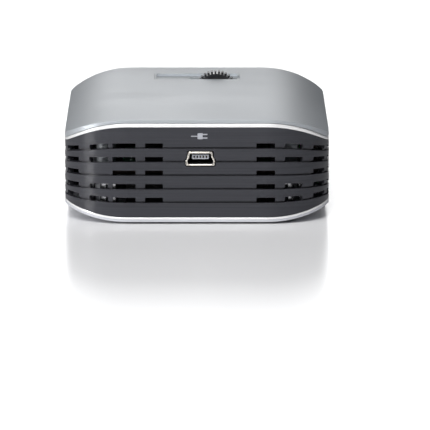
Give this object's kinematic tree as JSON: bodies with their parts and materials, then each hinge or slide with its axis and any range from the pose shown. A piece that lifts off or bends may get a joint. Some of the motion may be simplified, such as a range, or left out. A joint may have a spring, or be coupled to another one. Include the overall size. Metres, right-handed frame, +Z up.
{
  "type": "pocket projector",
  "caption": "Arched, louvred pocket projector with a toothed focus wheel in its top, a rear data socket, a side switch and jack, and a base battery door.",
  "frame": {"origin": "on the table, under the middle of the case", "axes": "+Y along the projected beam, away from the socket face; +X to the right when looking at the socket face; +Z up"},
  "size_m": [0.07, 0.12, 0.0292],
  "materials": {
    "cover_silver": "satin silver-grey metallic paint",
    "trim_bright": "polished bright metal line",
    "band_dark": "fine-lined satin charcoal",
    "base_dark": "fine satin black",
    "door_dark": "fine satin black",
    "foot_rubber": "matt rubber",
    "screw_steel": "bright zinc",
    "insert_brass": "turned",
    "wheel_black": "satin black",
    "bezel_grey": "satin grey",
    "pin_steel": "ground",
    "clip_steel": "blackened spring steel",
    "barrel_black": "matt black",
    "hood_black": "deep satin black",
    "optic_glass": "coated glass",
    "filter_glass": "dichroic coating",
    "engine_alloy": "die cast",
    "chip_grey": "ceramic and glass",
    "board_green": "solder mask",
    "ribbon_amber": "polyimide film",
    "led_red": "LED on its board",
    "led_green": "LED on its board",
    "led_blue": "LED on its board",
    "heat_alloy": "bare extruded",
    "pipe_copper": "bare copper",
    "fan_black": "moulded",
    "part_black": "moulded",
    "tray_black": "moulded",
    "battery_wrap": "printed film",
    "contact_gold": "gold plated",
    "socket_shell": "nickel plated",
    "tongue_grey": "moulded",
    "switch_metal": "tin plated",
    "knob_grey": "satin silver paint"
  },
  "bodies": {
    "case": {"top_cover": "cover_silver", "top_trim": "trim_bright", "vent_band": "band_dark", "bottom_trim": "trim_bright", "bottom_cover": "base_dark", "rubber_feet": "foot_rubber", "case_screws": "screw_steel", "tripod_nut": "insert_brass", "focus_bezel": "bezel_grey", "focus_axle": "pin_steel", "axle_clip": "clip_steel", "lens_mount": "barrel_black", "ring_retainer": "clip_steel", "lens_bezel": "hood_black", "lens_screws": "screw_steel", "engine_chassis": "engine_alloy", "engine_lid": "engine_alloy", "engine_screws": "screw_steel", "prism": "optic_glass", "imaging_chip": "chip_grey", "chip_board": "board_green", "chip_ribbon": "ribbon_amber", "light_integrator": "optic_glass", "relay_lens": "optic_glass", "dichroic_plates": "filter_glass", "collimator_lenses": "optic_glass", "red_led": "led_red", "green_led": "led_green", "blue_led": "led_blue", "side_heat_block": "heat_alloy", "green_heat_block": "heat_alloy", "side_heat_pipe": "pipe_copper", "cross_heat_pipe": "pipe_copper", "left_heatsink": "heat_alloy", "right_heatsink": "heat_alloy", "fan_housing": "fan_black", "fan_cover": "fan_black", "main_board": "board_green", "board_chips": "part_black", "board_screws": "screw_steel", "battery_tray": "tray_black", "battery_pack": "battery_wrap", "battery_contacts": "contact_gold", "usb_shell": "socket_shell", "usb_tongue": "tongue_grey", "usb_contacts": "contact_gold", "speaker": "part_black", "side_board": "board_green", "switch_body": "switch_metal", "av_jack": "part_black"},
    "wheel": {"focus_wheel": "wheel_black"},
    "ring": {"lens_ring": "barrel_black"},
    "cell": {"lens_cell": "barrel_black", "cam_pin": "pin_steel", "front_lens": "optic_glass", "middle_lens": "optic_glass", "rear_lens": "optic_glass"},
    "fan": {"fan_rotor": "fan_black"},
    "door": {"battery_door": "door_dark"},
    "knob": {"switch_knob": "knob_grey"}
  },
  "joints": [
    {"name": "wheel_turn", "type": "hinge", "parent": "case", "child": "wheel", "pos_m": [0.0053, 0.038, 0.0232], "axis": [0, 1, 0], "range_deg": [-90, 90]},
    {"name": "ring_turn", "type": "hinge", "parent": "case", "child": "ring", "pos_m": [-0.00544, 0.038, 0.0136], "axis": [0, 1, 0], "range_deg": [-60, 60]},
    {"name": "cell_slide", "type": "slide", "parent": "case", "child": "cell", "axis": [0, 1, 0], "range_m": [-0.00118, 0.00118]},
    {"name": "fan_spin", "type": "hinge", "parent": "case", "child": "fan", "pos_m": [0, -0.023, 0.018], "axis": [0, 0, 1], "continuous": true},
    {"name": "door_slide", "type": "slide", "parent": "case", "child": "door", "axis": [0, -1, 0], "range_m": [0, 0.003]},
    {"name": "knob_slide", "type": "slide", "parent": "case", "child": "knob", "axis": [0, 1, 0], "range_m": [0, 0.003]}
  ],
  "couplings": [
    {"joint": "wheel_turn", "follows": "cell_slide", "rad_per_m": 1333.3},
    {"joint": "ring_turn", "follows": "cell_slide", "rad_per_m": -872.73}
  ]
}
